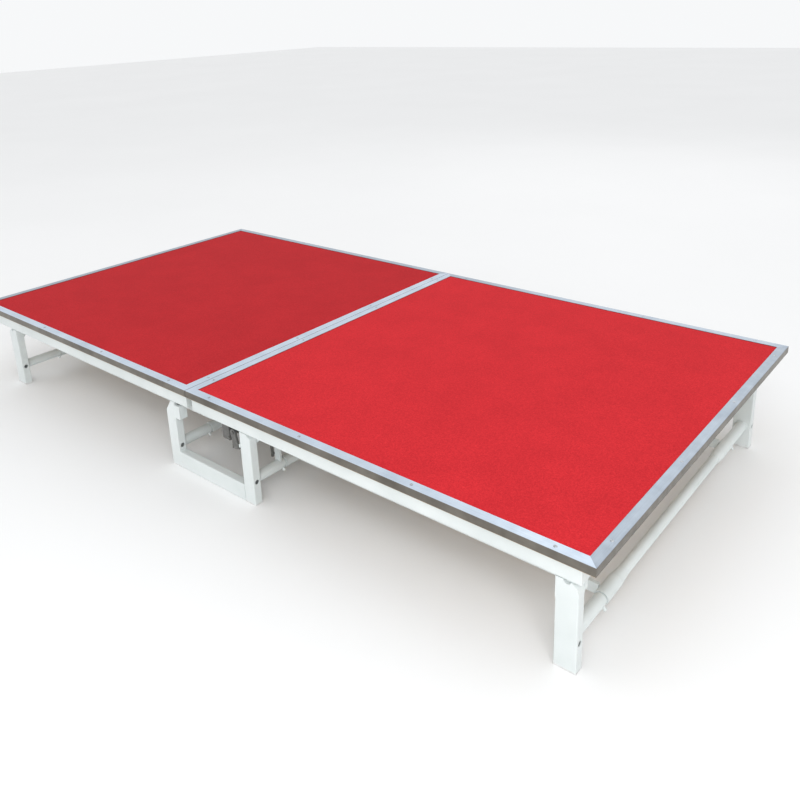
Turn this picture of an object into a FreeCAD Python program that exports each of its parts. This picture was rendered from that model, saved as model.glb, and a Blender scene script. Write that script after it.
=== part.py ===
"""Folding stage riser: two square carpeted decks on end leg frames and a centre stand.

Frame: millimetres, +X along the two decks, +Y to the back, +Z up. The origin is on the floor
under the middle of the closed, flat stage. Every joint axis lies along Y.
"""
import FreeCAD, Part
import os
import re
from FreeCAD import Placement, Rotation, Vector

SIZES = {
    # decks
    "half_span": 1220, "deck_depth": 1220, "seam_gap": 1.5,
    "rail_floor": 210, "rail_size": 40, "tube_wall": 2,
    "rail_side_inset": 10, "rail_seam_inset": 11.25, "rail_end_inset": 32,
    "board_thick": 18, "carpet_thick": 2.5, "carpet_rise": 1.2, "carpet_ease": 0.5,
    "trim_face": 25, "trim_drop": 20, "trim_sheet": 1.5, "trim_ease": 0.25, "trim_round": 1,
    "screw_inset": 90, "screw_head_rise": 1, "screw_head_radius": 4, "screw_head_top": 2.6,
    "screw_radius": 2, "screw_length": 14, "screw_ease": 0.2,
    # leg frames and stand
    "frame_front": -600, "frame_back": 470, "post_depth": 25, "post_top": 209, "post_hollow": 160,
    "leg_width": 50, "upright_width": 40, "pivot_height": 184, "tube_height": 67,
    "right_leg_place": 1158, "left_leg_place": -1030,
    "right_upright_place": 226, "left_upright_place": -98,
    "bar_height": 50, "foot_thick": 4, "plug_ease": 0.3, "plug_length": 16, "plug_root": 1,
    "side_hole": 6.5, "notch_radius": 8, "notch_deep": 8, "edge_round": 2.5,
    "right_cut_wide": 15, "right_cut_tall": 10, "left_cut_wide": 26, "left_cut_tall": 36,
    # pivots
    "pin_radius": 6, "pin_ease": 0.3, "pin_head": 8, "pin_head_radius": 11,
    "lug_half": 27, "lug_thick": 6, "lug_gap": 0.5, "lug_drop": 42, "lug_cut": 19, "lug_ease": 0.1,
    "skin": 2,
    # cross tubes, collars and links
    "cross_radius": 12.5, "collar_radius": 15, "leg_collar": 125, "stand_collar": 95,
    "bushing_radius": 16.5, "bushing_length": 68, "bushing_ease": 0.3, "bushing_wall": 4,
    "side_play": 3, "end_play": 0.5, "cone_length": 30, "cone_radius": 13.5,
    "stud_radius": 4, "stud_reach": 8, "stud_inset": 7, "stud_lean": 135,
    "link_tall": 26, "link_thick": 8, "link_place": 172, "link_floor": 58,
    # centre details
    "post_bar_place": 105, "post_bar_width": 20, "post_bar_thick": 6, "post_bar_top": 205,
    "hook_place": 24, "hook_radius": 4, "hook_floor": 83, "hook_top": 150, "hook_pin": 2.5,
    "hook_pin_low": 95, "hook_pin_high": 140,
    "rest_length": 24, "rest_tall": 40, "rest_top": 200,
    "rest_bolt_place": 8, "rest_bolt_radius": 5, "rest_bolt_top": 209.5,
    # catches
    "catch_left": 135, "catch_right": 163, "catch_drop": 42, "catch_front": 2, "catch_deep": 24,
    "arm_right": 189, "arm_drop": 20, "arm_place": 16.5, "arm_thick": 4, "lap": 1,
    "lever_pivot_x": 178, "lever_pivot_z": 196, "lever_lean": 13, "lever_half": 10,
    "lever_length": 46, "lever_thick": 6, "lever_place": 1, "nose_reach": 1, "nose_tall": 6,
    "lever_pin": 3, "lever_pin_tip": 2, "washer_rim": 2, "washer_thick": 1.7,
    "keeper_reach": 5, "keeper_floor": 162, "keeper_tall": 9, "keeper_side": 1,
    "pull_radius": 1.5, "pull_length": 28, "pull_root": 2, "pull_x": 160,
    "button_radius": 4, "button_length": 3, "button_z": 176,
}

doc = FreeCAD.newDocument("StageRiser")
pieces = []


def make_sheet():
    """Puts every driving dimension in one sheet, each cell with its alias."""
    sheet = doc.addObject("Spreadsheet::Sheet", "Size")
    for row, (alias, value) in enumerate(SIZES.items(), 1):
        sheet.set(f"A{row}", alias.replace("_", " "))
        sheet.set(f"B{row}", str(value))
        sheet.setAlias(f"B{row}", alias)
    doc.recompute()


def sized(text):
    """Writes a sum of plain size names as an expression on the sheet."""
    return re.sub(r"[a-z_]+", lambda word: f"Size.{word[0]}" if word[0] in SIZES else word[0], text)


class Piece:
    """One sub-part: a body whose features are measured from the body's own origin.

    mirror holds the signs that the x and y of its features are multiplied by, so that a piece
    and its mirror image are drawn by the same lines.
    """

    def __init__(self, label, x="0", y="0", z="0", turn=0, mirror=(1, 1)):
        self.body = doc.addObject("PartDesign::Body", label)
        self.body.Label = label
        self.body.Placement = Placement(Vector(), Rotation(Vector(0, 0, 1), turn))
        for side, place in zip("xyz", (x, y, z)):
            self.body.setExpression(f"Placement.Base.{side}", sized(place))
        self.mirror = mirror
        pieces.append(self.body)

    def feature(self, kind, sizes, at, rotation=Rotation()):
        """Adds one feature with its sizes and its place bound to the sheet."""
        shape = self.body.newObject(f"PartDesign::{kind}", kind)
        shape.Placement = Placement(Vector(), rotation)
        for name, size in sizes.items():
            shape.setExpression(name, sized(size))
        for side, place in zip("xyz", at):
            shape.setExpression(f"Placement.Base.{side}", sized(place))
        return shape

    def low_corner(self, at, spans):
        """The low corner of a box or rod once its x and y are mirrored."""
        flipped = [
            start if sign > 0 else f"-( {start} ) - ( {span} )"
            for start, span, sign in zip(at, spans, self.mirror)
        ]
        return (*flipped, at[2])

    def block(self, size, at, cut=False):
        """A box of the given size with its low corner at the given place."""
        kind = "SubtractiveBox" if cut else "AdditiveBox"
        sizes = {"Length": size[0], "Width": size[1], "Height": size[2]}
        return self.feature(kind, sizes, self.low_corner(at, size))

    def leaning_cut(self, size, at, axis, angle):
        """Cuts away a box turned about its low corner. It is not mirrored."""
        sizes = {"Length": size[0], "Width": size[1], "Height": size[2]}
        cut = self.feature("SubtractiveBox", sizes, at, Rotation(axis, 1))
        cut.setExpression("Placement.Rotation.Angle", sized(angle))

    def rod(self, axis, radius, length, at, cut=False):
        """A round rod along X, Y or Z that starts at the given place."""
        kind = "SubtractiveCylinder" if cut else "AdditiveCylinder"
        spans = (length if axis == "x" else "0", length if axis == "y" else "0")
        turn = {
            "x": Rotation(Vector(0, 1, 0), 90),
            "y": Rotation(Vector(1, 0, 0), -90),
            "z": Rotation(),
        }[axis]
        sizes = {"Radius": radius, "Height": length}
        return self.feature(kind, sizes, self.low_corner(at, spans), turn)

    def round_edges(self, radius, along, chosen):
        """Rounds the straight edges that run along one axis and whose middle is chosen."""
        doc.recompute()
        last = self.body.Tip
        names = []
        for number, edge in enumerate(last.Shape.Edges, 1):
            start, end = edge.Vertexes[0].Point, edge.Vertexes[-1].Point
            straight = abs((end - start).normalize().dot(along)) > 0.999
            if straight and chosen(edge.CenterOfMass):
                names.append(f"Edge{number}")
        fillet = self.body.newObject("PartDesign::Fillet", "Fillet")
        fillet.Base = (last, names)
        fillet.setExpression("Radius", sized(radius))

    def round_tube(self, along):
        """Rounds the four long edges of the plain box drawn first for a tube."""
        self.round_edges("edge_round", along, lambda middle: True)


def mitre(piece, length, height, depth):
    """Cuts both ends of a bar that lies along x at 45 degrees, its long side at y = 0."""
    for end in ("0", length):
        reach = f"( {depth} ) * 2"
        piece.leaning_cut((reach, reach, height), (end, "0", "0"), Vector(0, 0, 1), "45")


def sides(half, side_inset="0", seam_inset="0", end_inset="0"):
    """Name, origin, turn and length of a deck's four sides, each held in from the deck's edge."""
    seam = f"seam_gap / 2 + {seam_inset}"
    far = f"half_span - {end_inset}"
    along = f"{far} - ( {seam} )"
    across = f"deck_depth - {side_inset} * 2"
    front, back = f"-deck_depth / 2 + {side_inset}", f"deck_depth / 2 - {side_inset}"
    if half == "right":
        low_x, high_x, low_name, high_name = seam, far, "seam", "end"
    else:
        low_x, high_x, low_name, high_name = f"-( {far} )", f"-( {seam} )", "end", "seam"
    return [
        ("front", low_x, front, 0, along),
        (high_name, high_x, front, 90, across),
        ("back", high_x, back, 180, along),
        (low_name, low_x, back, 270, across),
    ]


def deck_frame(half, joist_count):
    """Four mitred box rails, and joists from over the centre uprights towards the end legs."""
    inside = "rail_size - tube_wall * 2"
    insets = ("rail_side_inset", "rail_seam_inset", "rail_end_inset")
    for name, x, y, turn, length in sides(half, *insets):
        rail = Piece(f"{half}_{name}_rail", x, y, "rail_floor", turn)
        rail.block((length, "rail_size", "rail_size"), ("0", "0", "0"))
        rail.round_tube(Vector(1, 0, 0))
        rail.block((length, inside, inside), ("0", "tube_wall", "tube_wall"), cut=True)
        mitre(rail, length, "rail_size", "rail_size")
    depth = "deck_depth - ( rail_side_inset + rail_size ) * 2"
    joists = Piece(f"{half}_joists", f"{half}_upright_place", f"-( {depth} ) / 2", "rail_floor")
    for number in range(joist_count):
        middle = f"( {half}_leg_place - {half}_upright_place ) * {number} / 3"
        joists.block(("rail_size", depth, "rail_size"), (f"{middle} - rail_size / 2", "0", "0"))
        joists.block((inside, depth, inside), (f"{middle} - ( {inside} ) / 2", "0", "tube_wall"), cut=True)
    back_bearer(joists, half, depth, inside)


def back_bearer(joists, half, depth, inside):
    """A short box bearer from the seam rail to the first joist, over the back of the stand."""
    joists.mirror = (-1 if half == "right" else 1, 1)
    seam_face = "seam_gap / 2 + rail_seam_inset + rail_size"
    gap = f"abs( {half}_upright_place ) - rail_size / 2 - ( {seam_face} )"
    start = f"frame_back - rail_size + ( {depth} ) / 2"
    joists.block((gap, "rail_size", "rail_size"), ("rail_size / 2", start, "0"))
    hollow_at = ("rail_size / 2", f"{start} + tube_wall", "tube_wall")
    joists.block((gap, inside, inside), hollow_at, cut=True)


def deck_top(half):
    """Plywood board, carpet, mitred edge angles and their screws."""
    sign = 1 if half == "right" else -1
    edge = "trim_sheet + trim_ease"
    span = f"half_span - seam_gap / 2 - ( {edge} ) * 2"
    depth = f"deck_depth - ( {edge} ) * 2"
    corner = (f"seam_gap / 2 + {edge}", f"-( {depth} ) / 2", "0")
    board = Piece(f"{half}_board", z="rail_floor + rail_size", mirror=(sign, 1))
    board.block((span, depth, "board_thick"), corner)
    carpet = Piece(f"{half}_carpet", z="rail_floor + rail_size + board_thick", mirror=(sign, 1))
    carpet.block((span, depth, "carpet_thick"), corner)
    inset = "trim_face + carpet_ease"
    pile = (f"half_span - seam_gap / 2 - ( {inset} ) * 2", f"deck_depth - ( {inset} ) * 2", "carpet_rise")
    carpet.block(pile, (f"seam_gap / 2 + {inset}", f"-deck_depth / 2 + {inset}", "carpet_thick"))
    top = "rail_floor + rail_size + board_thick + carpet_thick + trim_sheet"
    screws = Piece(f"{half}_trim_screws", z=top)
    for name, x, y, turn, length in sides(half):
        trim = Piece(f"{half}_{name}_trim", x, y, f"{top} - trim_drop", turn)
        trim.block((length, "trim_face", "trim_sheet"), ("0", "0", "trim_drop - trim_sheet"))
        trim.block((length, "trim_sheet", "trim_drop"), ("0", "0", "0"))
        trim.round_edges("trim_round", Vector(1, 0, 0), is_outer_top)
        mitre(trim, length, "trim_drop", "trim_face")
        edge_screws(trim, screws, x, y, turn, length)


def is_outer_top(middle):
    """True for the point half way along the upper outer edge of an edge angle."""
    return abs(middle.y) < 0.01 and abs(middle.z - SIZES["trim_drop"]) < 0.01


def edge_screws(trim, screws, x, y, turn, length):
    """Four evenly spaced screws through one edge angle, and their holes in it."""
    count = 4
    away = "trim_face / 2"
    for number in range(count):
        along = f"screw_inset + ( {length} - screw_inset * 2 ) * {number} / {count - 1}"
        hole = (along, away, "0")
        trim.rod("z", "screw_radius + screw_ease", "trim_drop", hole, cut=True)
        step_x, step_y = {
            0: (along, away), 90: (f"-( {away} )", along),
            180: (f"-( {along} )", f"-( {away} )"), 270: (away, f"-( {along} )"),
        }[turn]
        place_x, place_y = f"( {x} ) + {step_x}", f"( {y} ) + {step_y}"
        screws.rod("z", "screw_radius", "screw_length", (place_x, place_y, "-screw_length"))
        head = {"Radius1": "screw_head_radius", "Radius2": "screw_head_top", "Height": "screw_head_rise"}
        screws.feature("AdditiveCone", head, (place_x, place_y, "0"))


def pivot_places(half):
    """The x of the two pivots that carry a deck."""
    return [f"{half}_upright_place", f"{half}_leg_place"]


def deck_pivots(half):
    """Lugs that hang beside the posts, and the pins that run from them into the posts."""
    lugs = Piece(f"{half}_pivot_lugs")
    inner = "post_depth + lug_gap"
    for end in (1, -1):
        lugs.mirror = (1, end)
        start = f"frame_front + {inner}" if end > 0 else f"-frame_back + {inner}"
        for place in pivot_places(half):
            size = ("lug_half * 2", "lug_thick", "lug_drop")
            lugs.block(size, (f"{place} - lug_half", start, "rail_floor - lug_drop"))
            for side in ("- lug_half", "+ lug_half"):
                cut_corner(lugs, f"{place} {side}", start)
            bore_at = (place, start, "pivot_height")
            lugs.rod("y", "pin_radius + lug_ease", "lug_thick", bore_at, cut=True)
    pins = Piece(f"{half}_pivot_pins")
    for end in (1, -1):
        pins.mirror = (1, end)
        face = "frame_front" if end > 0 else "-frame_back"
        for place in pivot_places(half):
            tip = f"{face} + skin + lug_gap"
            reach = "post_depth - skin + lug_thick"
            pins.rod("y", "pin_radius", reach, (place, tip, "pivot_height"))
            pin_head(pins, place, f"{face} + {inner} + lug_thick", end)


def cut_corner(lugs, x, start):
    """Cuts a lower corner off a lug at 45 degrees."""
    side = "lug_cut * sqrt( 2 )"
    low = lugs.low_corner((f"{x} - lug_cut", start, "rail_floor - lug_drop"), ("0", "lug_thick"))
    lugs.leaning_cut((side, "lug_thick", side), low, Vector(0, 1, 0), "45")


def pin_head(pins, place, start, end):
    """The six-sided head of a pivot pin, against the inner side of its lug."""
    sizes = {"Circumradius": "pin_head_radius", "Height": "pin_head"}
    y = start if end > 0 else f"-( {start} ) - pin_head"
    head = pins.feature("AdditivePrism", sizes, (place, y, "pivot_height"), Rotation(Vector(1, 0, 0), -90))
    head.Polygon = 6


def post(label, place, width, floor, out, end):
    """A box tube post with a solid head: x grows outward, y inward from its outer face."""
    face = "frame_front" if end > 0 else "frame_back"
    piece = Piece(label, place, face, mirror=(out, end))
    half = f"{width} / 2"
    inside = (f"{width} - tube_wall * 2", "post_depth - tube_wall * 2", f"post_hollow - ( {floor} )")
    if width == "leg_width":
        piece.block((width, "post_depth", f"pivot_height - ( {floor} )"), (f"-{half}", "0", floor))
        piece.round_tube(Vector(0, 0, 1))
        piece.block((half, "post_depth", "post_top - post_hollow"), (f"-{half}", "0", "post_hollow"))
        piece.rod("y", half, "post_depth", ("0", "0", "pivot_height"))
        piece.rod("y", "notch_radius", "notch_deep", ("0", "0", "post_top"), cut=True)
    else:
        piece.block((width, "post_depth", f"post_top - ( {floor} )"), (f"-{half}", "0", floor))
        piece.round_tube(Vector(0, 0, 1))
        cut_top(piece, half, out, end)
    piece.block(inside, (f"-{half} + tube_wall", "tube_wall", floor), cut=True)
    piece.rod("x", "side_hole", width, (f"-{half}", "post_depth / 2", "tube_height"), cut=True)
    bore_at = ("0", "skin", "pivot_height")
    piece.rod("y", "pin_radius + pin_ease", "post_depth - skin", bore_at, cut=True)
    return piece


def cut_top(piece, half, out, end):
    """Cuts the outer top corner off an upright, so that the deck clears it as it turns."""
    side = "right" if out > 0 else "left"
    wide, tall = f"{side}_cut_wide", f"{side}_cut_tall"
    start_y = "0" if end > 0 else "-post_depth"
    size = (f"{wide} + {tall}", "post_depth", f"{wide} + {tall}")
    at = (f"{half} - {wide}", start_y, "post_top") if out > 0 else (f"-{half}", start_y, f"post_top - {tall}")
    piece.leaning_cut(size, at, Vector(0, out, 0), f"atan( {tall} / {wide} )")


def cross_tube(label, place):
    """A round tube along Y between the inner faces of two posts."""
    tube = Piece(label, place, "frame_front + post_depth", "tube_height")
    length = "frame_back - frame_front - post_depth * 2"
    tube.rod("y", "cross_radius", length, ("0", "0", "0"))
    tube.rod("y", "cross_radius - tube_wall", length, ("0", "0", "0"), cut=True)


def collars(label, places, collar):
    """Fixed collars next to the posts and tapered keepers, on both sides of each link bushing."""
    piece = Piece(label, z="tube_height")
    for end in (1, -1):
        piece.mirror = (1, end)
        start = "frame_front + post_depth" if end > 0 else "-frame_back + post_depth"
        keeper = f"{start} + {collar} + side_play + bushing_length + end_play"
        for place in places:
            piece.rod("y", "collar_radius", collar, (place, start, "0"))
            stud(piece, place, f"{start} + {collar} - stud_inset")
            taper(piece, place, keeper, end)
            bore = f"{keeper} - ( {start} ) + cone_length"
            piece.rod("y", "cross_radius", bore, (place, start, "0"), cut=True)


def stud(piece, place, along):
    """A locking stud that points down and to the right from the end of a collar."""
    sizes = {"Radius": "stud_radius", "Height": "collar_radius + stud_reach"}
    low = piece.low_corner((place, along, "0"), ("0", "0"))
    rod = piece.feature("AdditiveCylinder", sizes, low, Rotation(Vector(0, 1, 0), 1))
    rod.setExpression("Placement.Rotation.Angle", sized("stud_lean"))


def taper(piece, place, start, end):
    """A keeper that is as wide as the link bushing and narrows away from it."""
    wide, narrow = ("Radius1", "Radius2") if end > 0 else ("Radius2", "Radius1")
    sizes = {wide: "bushing_radius", narrow: "cone_radius", "Height": "cone_length"}
    low = piece.low_corner((place, start, "0"), ("0", "cone_length"))
    piece.feature("AdditiveCone", sizes, low, Rotation(Vector(1, 0, 0), -90))


def link(label, leg, upright, end):
    """A flat link bar with a bushing welded on at each end."""
    face = "frame_front" if end > 0 else "frame_back"
    piece = Piece(label, "0", face, "tube_height", mirror=(1, end))
    low, high = (upright, leg) if label.startswith("right") else (leg, upright)
    reach = "bushing_radius - bushing_wall / 2"
    bar_size = (f"{high} - ( {low} ) - ( {reach} ) * 2", "link_thick", "link_tall")
    piece.block(bar_size, (f"{low} + {reach}", "link_place - link_thick / 2", "link_floor - tube_height"))
    for place, collar in ((upright, "stand_collar"), (leg, "leg_collar")):
        start = f"post_depth + {collar} + side_play"
        piece.rod("y", "bushing_radius", "bushing_length", (place, start, "0"))
        piece.rod("y", "cross_radius + bushing_ease", "bushing_length", (place, start, "0"), cut=True)


def end_legs(half, out):
    """Two box legs on plastic feet, joined by a cross tube with its collars."""
    place = f"{half}_leg_place"
    for name, end in (("front", 1), ("back", -1)):
        post(f"{half}_{name}_leg", place, "leg_width", "foot_thick", out, end)
    cross_tube(f"{half}_leg_tube", place)
    collars(f"{half}_leg_collars", [place], "leg_collar")
    foot_caps(f"{half}_foot_caps", [place], "leg_width")


def foot_caps(label, places, width):
    """Plastic caps under posts, each with a plug that stands inside the tube."""
    caps = Piece(label)
    ease = "tube_wall + plug_ease"
    plug = (f"{width} - ( {ease} ) * 2", f"post_depth - ( {ease} ) * 2", "plug_length + plug_root")
    for end in (1, -1):
        caps.mirror = (1, end)
        start = "frame_front" if end > 0 else "-frame_back"
        for place in places:
            low = f"{place} - {width} / 2"
            caps.block((width, "post_depth", "foot_thick"), (low, start, "0"))
            caps.block(plug, (f"{low} + {ease}", f"{start} + {ease}", "foot_thick - plug_root"))


def centre_stand():
    """Four uprights on caps, a bar on the floor between each two, and two cross tubes."""
    places = ["left_upright_place", "right_upright_place"]
    for side, out in (("left", -1), ("right", 1)):
        for name, end in (("front", 1), ("back", -1)):
            label = f"stand_{side}_{name}_upright"
            post(label, f"{side}_upright_place", "upright_width", "foot_thick", out, end)
        cross_tube(f"stand_{side}_tube", f"{side}_upright_place")
    collars("stand_collars", places, "stand_collar")
    foot_caps("stand_foot_caps", places, "upright_width")
    length = "right_upright_place - left_upright_place - upright_width"
    inside = (length, "post_depth - tube_wall * 2", "bar_height - tube_wall * 2")
    for name, end in (("front", 1), ("back", -1)):
        face = "frame_front" if end > 0 else "frame_back"
        bar = Piece(f"stand_{name}_bar", "left_upright_place + upright_width / 2", face, mirror=(1, end))
        bar.block((length, "post_depth", "bar_height"), ("0", "0", "0"))
        bar.round_tube(Vector(1, 0, 0))
        bar.block(inside, ("0", "tube_wall", "tube_wall"), cut=True)


def stand_details():
    """Rests with their bolts under the left deck, flat post bars with hooks, and catch keepers."""
    rests = Piece("stand_rest_blocks", "left_upright_place + upright_width / 2")
    bolts = Piece("stand_rest_bolts", "left_upright_place + upright_width / 2")
    bars = Piece("stand_post_bars", "right_upright_place")
    hooks = Piece("stand_bar_hooks", "right_upright_place")
    keepers = Piece("stand_keepers", "right_upright_place - upright_width / 2")
    for end in (1, -1):
        start = "frame_front" if end > 0 else "-frame_back"
        for piece in (rests, bolts, bars, hooks, keepers):
            piece.mirror = (1, end)
        rests.block(("rest_length", "post_depth", "rest_tall"), ("0", start, "rest_top - rest_tall"))
        bolt_at = ("rest_bolt_place", f"{start} + post_depth / 2", "rest_top")
        bolts.rod("z", "rest_bolt_radius", "rest_bolt_top - rest_top", bolt_at)
        bar_size = ("post_bar_width", "post_bar_thick", "post_bar_top - tube_height")
        bars.block(bar_size, ("-post_bar_width / 2", f"{start} + post_bar_place", "tube_height"))
        bore_at = ("0", f"{start} + post_bar_place", "tube_height")
        bars.rod("y", "collar_radius", "post_bar_thick", bore_at, cut=True)
        hook_y = f"{start} + post_bar_place + post_bar_thick / 2"
        hooks.rod("z", "hook_radius", "hook_top - hook_floor", ("-hook_place", hook_y, "hook_floor"))
        for height in ("hook_pin_low", "hook_pin_high"):
            hooks.rod("x", "hook_pin", "hook_place - post_bar_width / 2", ("-hook_place", hook_y, height))
        keeper_size = ("keeper_reach", "lever_thick + keeper_side * 2", "keeper_tall")
        keepers.block(keeper_size, ("-keeper_reach", f"{start} + lever_place - keeper_side", "keeper_floor"))


def catches():
    """Catch brackets under the right front and back frame, and a lever with a nose on each."""
    brackets = Piece("right_catch_brackets")
    for end in (1, -1):
        brackets.mirror = (1, end)
        start = "frame_front" if end > 0 else "-frame_back"
        size = ("catch_right - catch_left", "catch_deep", "catch_drop")
        brackets.block(size, ("catch_left", f"{start} + catch_front", "rail_floor - catch_drop"))
        brackets.rod("y", "button_radius", "button_length", ("pull_x", start, "button_z"))
        pull_at = ("pull_x", f"{start} + catch_deep / 2", "rail_floor - catch_drop - pull_length")
        brackets.rod("z", "pull_radius", "pull_length + pull_root", pull_at)
        arm_at = ("catch_right - lap", f"{start} + arm_place", "rail_floor - arm_drop")
        brackets.block(("arm_right - catch_right + lap", "arm_thick", "arm_drop"), arm_at)
        pin_at = ("lever_pivot_x", f"{start} + lever_place - lever_pin_tip", "lever_pivot_z")
        brackets.rod("y", "lever_pin", "arm_place - lever_place + lever_pin_tip * 2", pin_at)
        brackets.rod("y", "lever_pin + washer_rim", "washer_thick", pin_at)
    for name, end in (("front", 1), ("back", -1)):
        lever(f"{name}_catch_lever", end)


def lever(label, end):
    """A flat lever with a nose that hangs from its pin and leans toward the upright."""
    face = "frame_front + lever_place" if end > 0 else "frame_back - lever_place - lever_thick"
    piece = Piece(label, "lever_pivot_x", face, "lever_pivot_z")
    piece.body.Placement = Placement(Vector(), Rotation(Vector(0, 1, 0), -SIZES["lever_lean"]))
    piece.rod("y", "lever_half", "lever_thick", ("0", "0", "0"))
    piece.block(("lever_half * 2", "lever_thick", "lever_length"), ("-lever_half", "0", "-lever_length"))
    piece.block(("nose_reach + lever_half", "lever_thick", "nose_tall"), ("0", "0", "-lever_length"))
    piece.rod("y", "lever_pin + pin_ease", "lever_thick", ("0", "0", "0"), cut=True)


def check_pieces():
    """Stops with the names of the objects that failed, or whose shape is empty or invalid."""
    failed = [item.Name for item in doc.Objects if {"Invalid", "Error"} & set(item.State)]
    broken = [
        body.Label for body in pieces
        if body.Shape.isNull() or not body.Shape.isValid() or not body.Shape.Solids
    ]
    if failed or broken:
        raise RuntimeError(f"failed objects {failed}, broken shapes {broken}")


def write_pieces():
    """Writes each piece to parts/NODE.step in the stage's own frame."""
    os.makedirs("parts", exist_ok=True)
    for body in pieces:
        body.Shape.exportStep(f"parts/{body.Label}.step")
        box = body.Shape.BoundBox
        print(f"{body.Label:28s} {len(body.Shape.Solids)} solids, {box.XMin:8.1f} {box.XMax:8.1f}"
              f" {box.YMin:7.1f} {box.YMax:7.1f} {box.ZMin:6.1f} {box.ZMax:6.1f}")


make_sheet()
deck_frame("right", 3)
deck_frame("left", 4)
for half in ("right", "left"):
    deck_top(half)
    deck_pivots(half)
    for name, end in (("front", 1), ("back", -1)):
        link(f"{half}_{name}_link", f"{half}_leg_place", f"{half}_upright_place", end)
end_legs("right", 1)
end_legs("left", -1)
centre_stand()
stand_details()
catches()
doc.recompute()
check_pieces()
write_pieces()
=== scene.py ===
import math

import bmesh
import bpy
from mathutils import Euler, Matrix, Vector, noise


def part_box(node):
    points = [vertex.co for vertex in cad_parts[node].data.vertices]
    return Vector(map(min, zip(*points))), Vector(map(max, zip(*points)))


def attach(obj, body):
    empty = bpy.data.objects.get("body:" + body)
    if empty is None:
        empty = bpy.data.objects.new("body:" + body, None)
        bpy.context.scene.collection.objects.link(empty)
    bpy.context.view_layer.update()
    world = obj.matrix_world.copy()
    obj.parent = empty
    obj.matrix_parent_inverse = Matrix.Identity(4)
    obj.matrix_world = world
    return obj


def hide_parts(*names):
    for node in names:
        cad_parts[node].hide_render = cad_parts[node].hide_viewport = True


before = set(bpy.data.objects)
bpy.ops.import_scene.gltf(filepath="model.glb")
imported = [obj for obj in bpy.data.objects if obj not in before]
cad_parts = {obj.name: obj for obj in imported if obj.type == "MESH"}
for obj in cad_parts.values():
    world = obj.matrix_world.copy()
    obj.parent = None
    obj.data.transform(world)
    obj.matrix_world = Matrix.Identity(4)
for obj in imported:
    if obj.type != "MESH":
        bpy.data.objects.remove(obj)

HALVES = ("right", "left")
TRIM_FACE = 0.025
TRIM_SHEET = 0.0015
PILE_RISE = 0.0012
PILE_SWELL = 0.012
PILE_RIPPLE = 0.00025
PILE_GAP = 0.0001
BAR_TOP = 0.05
TUBE_HEIGHT = 0.067
COLLAR_RADIUS = 0.015
JOIST_WIDTH = 0.04
BEAD_PITCH = 0.0016
BEAD_INSET = 0.003


# ---------------------------------------------------------------- shader helpers

class Shader:
    """A node material built around one Principled shader, in the object's own metres."""

    def __init__(self, name, roughness=0.5, metallic=0.0):
        self.material = bpy.data.materials.new(name)
        self.material.use_nodes = True
        self.tree = self.material.node_tree
        self.shader = self.tree.nodes["Principled BSDF"]
        self.shader.inputs["Roughness"].default_value = roughness
        self.shader.inputs["Metallic"].default_value = metallic
        coordinates = self.tree.nodes.new("ShaderNodeTexCoord")
        self.place = coordinates.outputs["Object"]
        self.facing = coordinates.outputs["Normal"]

    def node(self, kind, settings=None, **inputs):
        """Adds a node; an input that is a socket is linked and any other is set."""
        made = self.tree.nodes.new(kind)
        for name, value in (settings or {}).items():
            setattr(made, name, value)
        for name, value in inputs.items():
            socket = made.inputs[name.replace("_", " ")]
            if isinstance(value, bpy.types.NodeSocket):
                self.tree.links.new(value, socket)
            else:
                socket.default_value = value
        return made

    def stretched(self, x=1.0, y=1.0, z=1.0):
        """Object coordinates scaled along each axis."""
        return self.node("ShaderNodeMapping", Vector=self.place, Scale=(x, y, z)).outputs[0]

    def noise(self, scale, detail=3.0, roughness=0.55, vector=None):
        """Noise with this many features to the metre."""
        made = self.node("ShaderNodeTexNoise", Vector=vector or self.place, Scale=scale,
                         Detail=detail, Roughness=roughness)
        return made.outputs["Fac"]

    def ramp(self, value, *stops):
        """Grey values or colours by position along a value."""
        made = self.node("ShaderNodeValToRGB", Fac=value)
        points = made.color_ramp.elements
        while len(points) < len(stops):
            points.new(0.5)
        for point, (position, colour) in zip(points, stops):
            point.position = position
            if isinstance(colour, float):
                colour = (colour, colour, colour)
            point.color = (*colour, 1.0)
        return made.outputs["Color"]

    def mix(self, share, first, second, blend="MIX"):
        """Two colours mixed, or one laid on the other."""
        made = self.tree.nodes.new("ShaderNodeMix")
        made.data_type = "RGBA"
        made.blend_type = blend
        sockets = [made.inputs[0], made.inputs[6], made.inputs[7]]
        for socket, value in zip(sockets, (share, first, second)):
            if isinstance(value, bpy.types.NodeSocket):
                self.tree.links.new(value, socket)
            else:
                socket.default_value = value if isinstance(value, float) else (*value, 1.0)
        return made.outputs[2]

    def math(self, operation, first, second):
        """One sum on two values."""
        made = self.tree.nodes.new("ShaderNodeMath")
        made.operation = operation
        for socket, value in zip(made.inputs, (first, second)):
            if isinstance(value, bpy.types.NodeSocket):
                self.tree.links.new(value, socket)
            else:
                socket.default_value = value
        return made.outputs[0]

    def part_of(self, socket, axis):
        """The X, Y or Z of a vector."""
        return self.node("ShaderNodeSeparateXYZ", Vector=socket).outputs[axis]

    def colour(self, socket):
        """The surface takes this colour."""
        self.tree.links.new(socket, self.shader.inputs["Base Color"])

    def roughness(self, socket):
        """The surface takes this roughness."""
        self.tree.links.new(socket, self.shader.inputs["Roughness"])

    def bump(self, height, strength, distance):
        """The surface's shading follows this height."""
        made = self.node("ShaderNodeBump", Height=height, Strength=strength, Distance=distance)
        self.tree.links.new(made.outputs["Normal"], self.shader.inputs["Normal"])


# ---------------------------------------------------------------- materials

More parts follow.
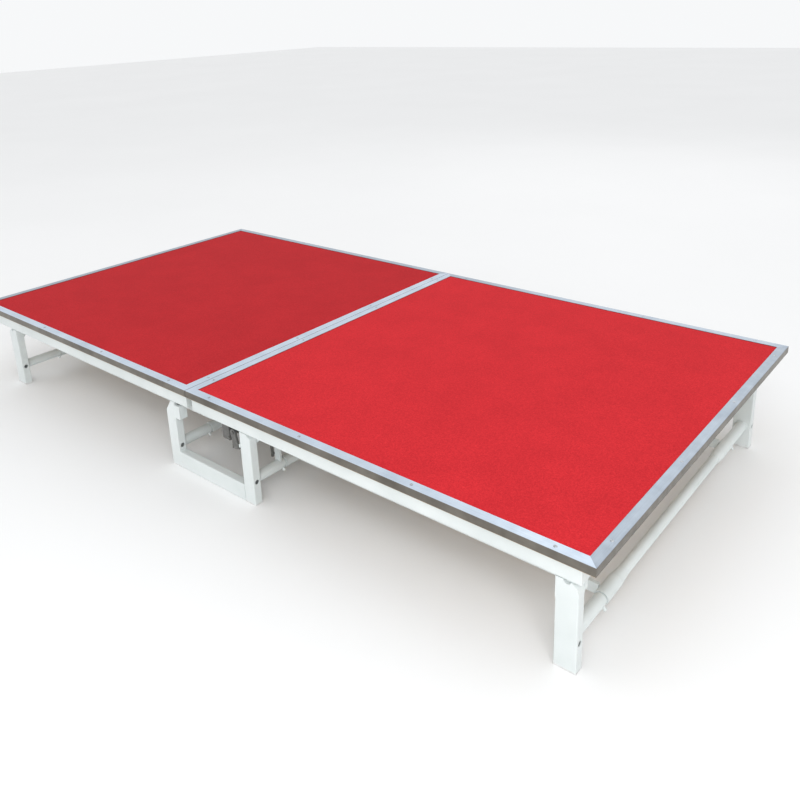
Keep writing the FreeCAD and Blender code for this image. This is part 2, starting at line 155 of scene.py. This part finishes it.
def carpet_material(name, painted_shade_factor):
    """Red needle felt: fine matted fibres, a mottled dye and a slight sheen; the last argument scales the
    whole colour down as painted shade.
    """
    felt = Shader(name, roughness=0.96)
    felt.shader.inputs["Specular IOR Level"].default_value = 0.12
    felt.shader.inputs["Sheen Weight"].default_value = 0.06
    felt.shader.inputs["Sheen Roughness"].default_value = 0.5
    felt.shader.inputs["Sheen Tint"].default_value = (1.0, 0.25, 0.22, 1.0)
    fibres = felt.noise(620.0, detail=6.0, roughness=0.75)
    clumps = felt.noise(260.0, detail=4.0, roughness=0.65)
    patches = felt.noise(9.0, detail=3.0)
    grain = felt.math("ADD", felt.math("MULTIPLY", fibres, 0.55), felt.math("MULTIPLY", clumps, 0.45))
    red = felt.ramp(grain, (0.34, (0.47, 0.014, 0.022)), (0.5, (0.64, 0.023, 0.032)),
                    (0.66, (0.80, 0.038, 0.046)))
    # Random patches up to 7 % darker, all times the last argument, which is painted shade.
    mottle_and_painted_shade = felt.ramp(patches, (0.35, (0.93 * painted_shade_factor, 0.91 * painted_shade_factor, 0.92 * painted_shade_factor)), (0.65, (painted_shade_factor, painted_shade_factor, painted_shade_factor)))
    felt.colour(felt.mix(1.0, red, mottle_and_painted_shade, "MULTIPLY"))
    felt.bump(grain, 0.55, 0.0012)
    return felt.material


def trim_material(name, along, painted_shade_factor):
    """Satin aluminium angle, brushed along its length; its dropped leg is painted near-black as a painted
    dark reflection, and the last argument scales the whole angle down as painted shade.
    """
    angle = Shader(name, roughness=0.34, metallic=1.0)
    stretch = (9.0, 900.0, 900.0) if along == "x" else (900.0, 9.0, 900.0)
    lines = angle.noise(1.0, detail=5.0, roughness=0.6, vector=angle.stretched(*stretch))
    cloud = angle.noise(14.0, detail=4.0)
    tints = ((0.58, 0.67, 0.78), (0.70, 0.79, 0.90))
    # Both tints are scaled by the last argument; below 1 the angle is painted in shade.
    darker, lighter = ([part * painted_shade_factor for part in tint] for tint in tints)
    bright = angle.ramp(cloud, (0.3, darker), (0.7, lighter))
    # Near-black colour for faces that don't face up: a painted dark reflection on the dropped leg.
    painted_dark_reflection = angle.ramp(cloud, (0.3, (0.16, 0.145, 0.125)), (0.7, (0.26, 0.24, 0.21)))
    up = angle.ramp(angle.part_of(angle.facing, "Z"), (0.35, 0.0), (0.75, 1.0))
    streaks = angle.ramp(lines, (0.25, 0.84), (0.75, 1.0))
    angle.colour(angle.mix(1.0, angle.mix(up, painted_dark_reflection, bright), streaks, "MULTIPLY"))
    scuffs = angle.noise(45.0, detail=6.0, roughness=0.7)
    angle.roughness(angle.ramp(scuffs, (0.3, 0.27), (0.7, 0.46)))
    angle.bump(lines, 0.12, 0.0003)
    return angle.material


def paint_material():
    """White powder coat with a faint orange peel, a little grime and scuffs low down."""
    coat = Shader("white_powder_coat", roughness=0.36)
    coat.shader.inputs["Coat Weight"].default_value = 0.12
    coat.shader.inputs["Coat Roughness"].default_value = 0.25
    cloud = coat.noise(7.0, detail=5.0)
    base = coat.ramp(cloud, (0.3, (0.62, 0.665, 0.66)), (0.7, (0.71, 0.75, 0.745)))
    scuffs = coat.noise(160.0, detail=8.0, roughness=0.78)
    height = coat.part_of(coat.place, "Z")
    low = coat.ramp(height, (0.0, 1.0), (0.045, 0.25), (0.09, 0.06))
    marks = coat.ramp(scuffs, (0.60, 0.0), (0.68, 1.0))
    coat.colour(coat.mix(coat.math("MULTIPLY", marks, low), base, (0.42, 0.41, 0.39)))
    peel = coat.noise(420.0, detail=2.0)
    coat.roughness(coat.ramp(scuffs, (0.3, 0.30), (0.75, 0.50)))
    coat.bump(peel, 0.10, 0.0005)
    return coat.material


def dark_steel_material():
    """Oiled dark steel with brighter rubbed patches; on the catches under the front rail its dark colour
    also stands in for the shade there, a painted shade.
    """
    steel = Shader("dark_steel_and_painted_shade", roughness=0.45, metallic=0.5)
    rub = steel.noise(90.0, detail=6.0, roughness=0.7)
    steel.colour(steel.ramp(rub, (0.30, (0.10, 0.098, 0.094)), (0.60, (0.17, 0.168, 0.16)),
                            (0.80, (0.34, 0.335, 0.32))))
    steel.roughness(steel.ramp(rub, (0.3, 0.55), (0.75, 0.28)))
    steel.bump(rub, 0.2, 0.0004)
    return steel.material


def zinc_material():
    """Bright zinc plate, faintly clouded."""
    zinc = Shader("bright_zinc", roughness=0.28, metallic=1.0)
    cloud = zinc.noise(260.0, detail=4.0)
    zinc.colour(zinc.ramp(cloud, (0.3, (0.30, 0.32, 0.35)), (0.7, (0.62, 0.65, 0.68))))
    zinc.roughness(zinc.ramp(cloud, (0.3, 0.22), (0.7, 0.42)))
    zinc.bump(cloud, 0.1, 0.0002)
    return zinc.material


def plywood_material():
    """Birch plywood: face grain along X above and below, and thin plies on the edges."""
    wood = Shader("birch_plywood", roughness=0.62)
    rings = wood.noise(1.0, detail=6.0, roughness=0.6, vector=wood.stretched(3.0, 70.0, 3.0))
    fine = wood.noise(1.0, detail=4.0, roughness=0.7, vector=wood.stretched(18.0, 900.0, 60.0))
    grain = wood.math("ADD", wood.math("MULTIPLY", rings, 0.65), wood.math("MULTIPLY", fine, 0.35))
    face = wood.ramp(grain, (0.34, (0.40, 0.25, 0.13)), (0.5, (0.58, 0.41, 0.24)),
                     (0.66, (0.70, 0.54, 0.36)))
    ply = wood.node("ShaderNodeTexWave", {"bands_direction": "Z"}, Vector=wood.place, Scale=110.0,
                    Distortion=0.6, Detail=2.0)
    plies = wood.ramp(ply.outputs["Fac"], (0.35, (0.30, 0.18, 0.09)), (0.6, (0.62, 0.46, 0.29)))
    tilt = wood.math("ABSOLUTE", wood.part_of(wood.facing, "Z"), 0.0)
    wood.colour(wood.mix(wood.ramp(tilt, (0.4, 0.0), (0.6, 1.0)), plies, face))
    wood.bump(grain, 0.25, 0.0006)
    return wood.material


def plastic_material():
    """Pale moulded plastic with a fine spark-eroded texture."""
    plastic = Shader("pale_moulded_plastic", roughness=0.55)
    grain = plastic.noise(900.0, detail=3.0)
    dirt = plastic.noise(60.0, detail=6.0, roughness=0.7)
    plastic.colour(plastic.ramp(dirt, (0.32, (0.52, 0.52, 0.50)), (0.62, (0.74, 0.75, 0.75))))
    plastic.bump(grain, 0.25, 0.0003)
    return plastic.material


def paint_cad_nodes(looks):
    """Every CAD node that stays shown takes the material of its kind."""
    for name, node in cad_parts.items():
        if name.endswith("_trim"):
            look = looks[name.split("_")[1]]
        elif name.endswith("_board"):
            look = looks["wood"]
        elif name.endswith("_pins"):
            look = looks["zinc"]
        elif name.endswith("_caps"):
            look = looks["plastic"]
        # The catches' dark steel also paints in the shade under the front rail.
        elif "catch" in name or name in ("stand_rest_bolts", "stand_bar_hooks"):
            look = looks["dark"]
        else:
            look = looks["paint"]
        node.data.materials.clear()
        node.data.materials.append(look)


# ---------------------------------------------------------------- mesh helpers

def new_piece(name, mesh, look, body, smooth=True):
    """Links a finished mesh as a piece that moves with a body."""
    for face in mesh.polygons:
        face.use_smooth = smooth
    mesh.materials.append(look)
    piece = bpy.data.objects.new(name, mesh)
    bpy.context.scene.collection.objects.link(piece)
    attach(piece, body)
    return piece


def finished(maker, name):
    """Turns a mesh in the making into a mesh."""
    mesh = bpy.data.meshes.new(name)
    maker.to_mesh(mesh)
    maker.free()
    return mesh


def join_loops(maker, first, second):
    """Quads between two closed loops with the same number of points."""
    for step in range(len(first)):
        after = (step + 1) % len(first)
        maker.faces.new((first[step], first[after], second[after], second[step]))


# ---------------------------------------------------------------- carpet

def carpet(half, look):
    """The deck's felt: pressed flat under the edge angles and plump between them."""
    low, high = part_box(f"{half}_carpet")
    side = 97
    upper = felt_face(low, high, side)
    lower = [(x, y, low.z + PILE_GAP) for x, y, _ in upper]
    faces = grid_faces(side)
    faces += [tuple(index + len(upper) for index in reversed(face)) for face in grid_faces(side)]
    rim = grid_rim(side)
    for here, there in zip(rim, rim[1:] + rim[:1]):
        faces.append((here, here + len(upper), there + len(upper), there))
    mesh = bpy.data.meshes.new(f"{half}_felt")
    mesh.from_pydata(upper + lower, [], faces)
    mesh.update()
    piece = new_piece(f"{half}_felt", mesh, look, f"{half}_deck")
    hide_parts(f"{half}_carpet")


def felt_face(low, high, side):
    """Points of the felt's upper face, row by row: flat below the angles, then rising and rippled."""
    inner = TRIM_FACE - TRIM_SHEET
    width, depth = high.x - low.x, high.y - low.y
    points = []
    for row in range(side):
        y = low.y + depth * spread(row / (side - 1), inner / depth)
        for column in range(side):
            x = low.x + width * spread(column / (side - 1), inner / width)
            inward = min(x - low.x, high.x - x, y - low.y, high.y - y) - inner
            share = min(max(inward / PILE_SWELL, 0.0), 1.0)
            plump = PILE_RISE * math.sin(share * math.pi / 2)
            ripple = PILE_RIPPLE * share * noise.noise(Vector((x * 9.0, y * 9.0, 0.0)))
            points.append((x, y, high.z - PILE_RISE - PILE_GAP + plump + ripple))
    return points


def spread(share, edge):
    """Moves evenly spaced grid lines towards the edges, where the felt rises past the angle."""
    lines, rise = 0.10, 0.012
    reach = edge + rise
    if share < lines:
        return share / lines * reach
    if share > 1 - lines:
        return 1 - (1 - share) / lines * reach
    return reach + (share - lines) / (1 - 2 * lines) * (1 - 2 * reach)


def grid_faces(side):
    """Quads over a square grid of points kept row by row."""
    faces = []
    for row in range(side - 1):
        for column in range(side - 1):
            corner = row * side + column
            faces.append((corner, corner + 1, corner + side + 1, corner + side))
    return faces


def grid_rim(side):
    """The border points of a square grid, in one turn around it."""
    last = side - 1
    rim = list(range(side))
    rim += [row * side + last for row in range(1, side)]
    rim += [last * side + column for column in range(last - 1, -1, -1)]
    rim += [row * side for row in range(last - 1, 0, -1)]
    return rim


# ---------------------------------------------------------------- screws

def screw_places(half):
    """Middles of the screws along the four edge angles of a deck."""
    count = 4
    inset = 0.09
    away = TRIM_FACE / 2
    lows = [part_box(f"{half}_{side}_trim")[0] for side in ("front", "seam", "end")]
    highs = [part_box(f"{half}_{side}_trim")[1] for side in ("back", "seam", "end")]
    low_x, high_x = min(point.x for point in lows), max(point.x for point in highs)
    low_y, high_y = min(point.y for point in lows), max(point.y for point in highs)
    places = []
    for number in range(count):
        share = number / (count - 1)
        x = low_x + inset + (high_x - low_x - 2 * inset) * share
        y = low_y + inset + (high_y - low_y - 2 * inset) * share
        places += [(x, low_y + away), (x, high_y - away), (low_x + away, y), (high_x - away, y)]
    return places


def screw_mesh(maker, x, y, z, turn):
    """One raised-head screw with a cross recess, its rim on the angle's face."""
    radius, rise, sunk, sides = 0.0042, 0.00095, 0.0004, 32
    recess_floor, cross_waist, cross_arm = 0.15, 0.12, 0.30
    dome = ((1.0, 0.25), (0.93, 0.55), (0.76, 0.82), (0.52, 0.95), (0.44, 1.0))
    angles = [step * 2 * math.pi / sides for step in range(sides)]
    cross = [radius * (cross_waist + cross_arm * abs(math.cos(2 * angle)) ** 6) for angle in angles]
    levels = [([radius] * sides, -sunk)]
    levels += [([radius * share] * sides, rise * lift) for share, lift in dome]
    levels += [(cross, rise), (cross, rise * recess_floor)]
    loops = []
    for reaches, height in levels:
        loop = []
        for angle, reach in zip(angles, reaches):
            across, along = reach * math.cos(angle + turn), reach * math.sin(angle + turn)
            loop.append(maker.verts.new((x + across, y + along, z + height)))
        loops.append(loop)
    for outer, inner in zip(loops, loops[1:]):
        join_loops(maker, outer, inner)
    maker.faces.new(loops[-1])
    maker.faces.new(list(reversed(loops[0])))


def screws(half, look):
    """The raised-head screws that hold a deck's edge angles down, each turned a little further."""
    maker = bmesh.new()
    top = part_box(f"{half}_front_trim")[1].z
    turn = 0.61
    for number, (x, y) in enumerate(screw_places(half)):
        screw_mesh(maker, x, y, top, number * turn)
    mesh = finished(maker, f"{half}_edge_screws")
    piece = new_piece(f"{half}_edge_screws", mesh, look, f"{half}_deck", smooth=False)
    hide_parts(f"{half}_trim_screws")


# ---------------------------------------------------------------- welds

def bead(maker, line, normal_in, closed):
    """A weld bead with ripples along a line of points; half of it lies in the joint."""
    radius, steps = 0.0022, 10
    loops = []
    for number, point in enumerate(line):
        before = line[number - 1] if number or closed else point
        after = line[(number + 1) % len(line)] if number < len(line) - 1 or closed else point
        along = (after - before).normalized()
        side = along.cross(normal_in).normalized()
        over = side.cross(along).normalized()
        ripple = 1.0 + 0.16 * math.sin(number * 2.1) + 0.10 * noise.noise(point * 170.0)
        loop = []
        for step in range(steps):
            angle = step * 2 * math.pi / steps
            offset = side * math.cos(angle) + over * math.sin(angle)
            loop.append(maker.verts.new(point + offset * radius * ripple))
        loops.append(loop)
    pairs = list(zip(loops, loops[1:]))
    if closed:
        pairs.append((loops[-1], loops[0]))
    for first, second in pairs:
        join_loops(maker, first, second)
    if not closed:
        maker.faces.new(list(reversed(loops[0])))
        maker.faces.new(loops[-1])


def straight(start, end):
    """Points along a straight run, one bead pitch apart."""
    start, end = Vector(start), Vector(end)
    count = max(3, int((end - start).length / BEAD_PITCH))
    return [start.lerp(end, step / count) for step in range(count + 1)]


def ring(centre, radius):
    """Points round a tube whose axis lies along Y, one bead pitch apart."""
    count = max(12, int(2 * math.pi * radius / BEAD_PITCH))
    points = []
    for step in range(count):
        angle = step * 2 * math.pi / count
        across, up = radius * math.cos(angle), radius * math.sin(angle)
        points.append(Vector((centre[0] + across, centre[1], centre[2] + up)))
    return points


def welds(name, body, look, lines):
    """One piece that holds all the weld beads of a body."""
    maker = bmesh.new()
    for line, normal, closed in lines:
        bead(maker, line, Vector(normal), closed)
    bmesh.ops.recalc_face_normals(maker, faces=maker.faces)
    new_piece(name, finished(maker, name), look, body)


def post_welds(pairs):
    """Rings where the collars of a cross tube meet the front and the back post."""
    lift, clearance = 0.0006, 0.0004
    lines = []
    for front, back in pairs:
        for post, inward in ((front, 1), (back, -1)):
            low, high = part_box(post)
            face = high.y if inward > 0 else low.y
            centre = ((low.x + high.x) / 2, face + inward * lift, TUBE_HEIGHT)
            lines.append((ring(centre, COLLAR_RADIUS + clearance), (0, 1, 0), True))
    return lines


def stand_welds(look):
    """The stand's beads: collars on the uprights, and the floor bars between the uprights."""
    lines = post_welds([
        ("stand_left_front_upright", "stand_left_back_upright"),
        ("stand_right_front_upright", "stand_right_back_upright"),
    ])
    for row in ("front", "back"):
        low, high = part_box(f"stand_{row}_bar")
        inner_y = high.y if row == "front" else low.y
        for x in (low.x, high.x):
            top = straight((x, low.y + BEAD_INSET, BAR_TOP), (x, high.y - BEAD_INSET, BAR_TOP))
            side = straight((x, inner_y, BEAD_INSET * 2), (x, inner_y, BAR_TOP - BEAD_INSET))
            lines += [(top, (0, 0, 1), False), (side, (0, 1, 0), False)]
    welds("stand_welds", "stand", look, lines)


def leg_welds(look):
    """Beads round the cross tube's collars on both end leg frames."""
    for half in HALVES:
        lines = post_welds([(f"{half}_front_leg", f"{half}_back_leg")])
        welds(f"{half}_leg_welds", f"{half}_legs", look, lines)


def deck_welds(look):
    """Upright beads inside the mitred rail corners and where the joists meet the rails."""
    for half in HALVES:
        low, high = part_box(f"{half}_front_rail")[0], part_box(f"{half}_back_rail")[1]
        rail = high.z - low.z
        bottom, top = low.z + BEAD_INSET, high.z - BEAD_INSET
        places = []
        for x, step_x in ((low.x, 1), (high.x, -1)):
            for y, step_y in ((low.y, 1), (high.y, -1)):
                places.append((x + step_x * rail, y + step_y * rail, (step_x, step_y, 0)))
        joists_low, joists_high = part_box(f"{half}_joists")
        for x in joist_edges(half):
            for y in (joists_low.y, joists_high.y):
                places.append((x, y, (0, 1, 0)))
        lines = [(straight((x, y, bottom), (x, y, top)), normal, False) for x, y, normal in places]
        welds(f"{half}_deck_welds", f"{half}_deck", look, lines)


def joist_edges(half):
    """The x of both faces of each joist, read from the joists' own points."""
    slack = 0.0005
    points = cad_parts[f"{half}_joists"].data.vertices
    found = sorted({round(point.co.x, 4) for point in points})
    starts = [x for x in found if any(abs(other - x - JOIST_WIDTH) < slack for other in found)]
    return [x for start in starts for x in (start, start + JOIST_WIDTH)]


# ---------------------------------------------------------------- stage, light and camera

def studio():
    """A pale floor, a white room and large soft lamps."""
    bpy.ops.mesh.primitive_plane_add(size=40, location=(0, 0, -0.0005))
    floor = bpy.context.object
    floor.name = "floor"
    paper = Shader("pale_floor", roughness=0.85)
    paper.shader.inputs["Specular IOR Level"].default_value = 0.2
    paper.colour(paper.ramp(paper.noise(0.8), (0.0, (0.86, 0.86, 0.86)), (1.0, (0.90, 0.90, 0.90))))
    floor.data.materials.append(paper.material)
    world = bpy.data.worlds.new("studio")
    world.use_nodes = True
    background = world.node_tree.nodes["Background"]
    background.inputs["Color"].default_value = (0.98, 0.99, 1.0, 1.0)
    background.inputs["Strength"].default_value = 0.95
    bpy.context.scene.world = world
    bpy.context.scene.view_settings.view_transform = "Standard"
    lamp("key", (2.6, -2.4, 2.3), (1.0, -0.3, 0.2), 1.9, 42.0)
    lamp("fill", (-3.8, -3.0, 2.6), (-0.6, 0.0, 0.2), 3.0, 12.0)
    lamp("back", (-0.5, 4.2, 3.4), (0.0, 0.0, 0.2), 3.0, 18.0)
    lamp("low", (1.2, -3.2, 0.7), (0.2, -0.2, 0.1), 1.2, 9.0)


def lamp(name, place, target, size, power):
    """A square soft lamp that faces a point."""
    light = bpy.data.lights.new(name, "AREA")
    light.size = size
    light.energy = power
    holder = bpy.data.objects.new(name, light)
    holder.location = place
    aim = Vector(target) - Vector(place)
    holder.rotation_euler = aim.to_track_quat("-Z", "Y").to_euler()
    bpy.context.scene.collection.objects.link(holder)


def camera():
    """Eye height, to the right of the front edge, looking down along the deck to the left."""
    eye = bpy.data.objects.new("camera", bpy.data.cameras.new("camera"))
    eye.location = (1.7426, -1.7493, 1.2424)
    eye.rotation_euler = Euler([math.radians(angle) for angle in (72.03, 1.97, 39.45)])
    eye.data.sensor_width = 36.0
    eye.data.lens = 36.23
    eye.data.shift_y = -0.163
    bpy.context.scene.collection.objects.link(eye)
    bpy.context.scene.camera = eye


# ---------------------------------------------------------------- the object

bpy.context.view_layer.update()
camera()
studio()
looks = {
    # The felts' last arguments are painted shade: the left felt is painted darker where less light falls.
    "left_felt": carpet_material("left_red_felt", 0.74),
    "right_felt": carpet_material("right_red_felt", 0.93),
    # The last arguments below 1 on the back and end angles are painted shade.
    "front": trim_material("front_aluminium", "x", 1.0),
    "back": trim_material("back_aluminium", "x", 0.72),
    "seam": trim_material("seam_aluminium", "y", 1.0),
    "end": trim_material("end_aluminium", "y", 0.62),
    "paint": paint_material(),
    "dark": dark_steel_material(),
    "zinc": zinc_material(),
    "wood": plywood_material(),
    "plastic": plastic_material(),
}
paint_cad_nodes(looks)
for half in HALVES:
    carpet(half, looks[f"{half}_felt"])
    screws(half, looks["zinc"])
stand_welds(looks["paint"])
leg_welds(looks["paint"])
deck_welds(looks["paint"])
